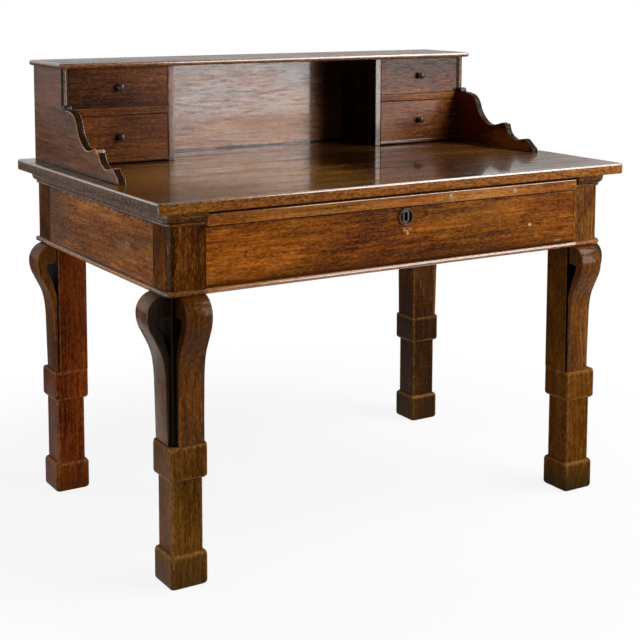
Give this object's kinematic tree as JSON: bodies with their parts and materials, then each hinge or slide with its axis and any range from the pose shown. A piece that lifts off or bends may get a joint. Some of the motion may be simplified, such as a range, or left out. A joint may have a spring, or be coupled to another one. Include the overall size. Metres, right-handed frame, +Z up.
{
  "type": "writing table",
  "caption": "Walnut writing table on scroll-bracketed legs, with a long apron drawer, moulded corners and a low gallery of small drawers with scrolled wings.",
  "frame": {"origin": "on the floor under the middle of the table top", "axes": "+X to the sitter's right along the top, +Y to the back and the gallery, +Z up"},
  "size_m": [1.18, 0.78, 1.0135],
  "materials": {
    "walnut_top": "waxed",
    "walnut_front": "waxed",
    "walnut_side": "waxed",
    "walnut_block": "waxed",
    "walnut_leg": "waxed",
    "walnut_bracket": "waxed",
    "walnut_gallery": "waxed",
    "drawer_lining": "dry",
    "knob_wood": "polished",
    "escutcheon": "polished",
    "iron": "aged"
  },
  "bodies": {
    "table": {"leg_fl": "walnut_leg", "bracket_end_fl": "walnut_bracket", "bracket_side_fl": "walnut_bracket", "leg_fr": "walnut_leg", "bracket_end_fr": "walnut_bracket", "bracket_side_fr": "walnut_bracket", "leg_bl": "walnut_leg", "bracket_end_bl": "walnut_bracket", "bracket_side_bl": "walnut_bracket", "leg_br": "walnut_leg", "bracket_end_br": "walnut_bracket", "bracket_side_br": "walnut_bracket", "block_front_left": "walnut_block", "block_rear_left": "walnut_block", "apron_left": "walnut_side", "cornice_left": "walnut_side", "bead_left": "walnut_side", "runner_left": "drawer_lining", "kicker_left": "drawer_lining", "side_upper_left": "walnut_gallery", "side_wing_left": "walnut_gallery", "partition_left": "walnut_gallery", "shelf_left": "walnut_gallery", "under_board_left": "walnut_gallery", "block_front_right": "walnut_block", "block_rear_right": "walnut_block", "apron_right": "walnut_side", "cornice_right": "walnut_side", "bead_right": "walnut_side", "runner_right": "drawer_lining", "kicker_right": "drawer_lining", "side_upper_right": "walnut_gallery", "side_wing_right": "walnut_gallery", "partition_right": "walnut_gallery", "shelf_right": "walnut_gallery", "under_board_right": "walnut_gallery", "apron_back": "walnut_side", "front_rail": "walnut_front", "table_top": "walnut_top", "gallery_top": "walnut_gallery", "gallery_back": "walnut_gallery"},
    "long_drawer": {"drawer_front": "walnut_front", "drawer_strip": "walnut_front", "drawer_box": "drawer_lining", "escutcheon": "escutcheon", "lock_case": "iron"},
    "bolt": {"lock_bolt": "iron"},
    "small_drawer_upper_left": {"small_front_upper_left": "walnut_gallery", "small_box_upper_left": "drawer_lining", "small_knob_upper_left": "knob_wood"},
    "small_drawer_upper_right": {"small_front_upper_right": "walnut_gallery", "small_box_upper_right": "drawer_lining", "small_knob_upper_right": "knob_wood"},
    "small_drawer_lower_left": {"small_front_lower_left": "walnut_gallery", "small_box_lower_left": "drawer_lining", "small_knob_lower_left": "knob_wood"},
    "small_drawer_lower_right": {"small_front_lower_right": "walnut_gallery", "small_box_lower_right": "drawer_lining", "small_knob_lower_right": "knob_wood"}
  },
  "joints": [
    {"name": "long_drawer_slide", "type": "slide", "parent": "table", "child": "long_drawer", "axis": [0, -1, 0], "range_m": [0, 0.38]},
    {"name": "lock_bolt_slide", "type": "slide", "parent": "long_drawer", "child": "bolt", "axis": [0, 0, 1], "range_m": [0, 0.015]},
    {"name": "small_drawer_upper_left_slide", "type": "slide", "parent": "table", "child": "small_drawer_upper_left", "axis": [0, -1, 0], "range_m": [0, 0.115]},
    {"name": "small_drawer_upper_right_slide", "type": "slide", "parent": "table", "child": "small_drawer_upper_right", "axis": [0, -1, 0], "range_m": [0, 0.115]},
    {"name": "small_drawer_lower_left_slide", "type": "slide", "parent": "table", "child": "small_drawer_lower_left", "axis": [0, -1, 0], "range_m": [0, 0.115]},
    {"name": "small_drawer_lower_right_slide", "type": "slide", "parent": "table", "child": "small_drawer_lower_right", "axis": [0, -1, 0], "range_m": [0, 0.115]}
  ]
}
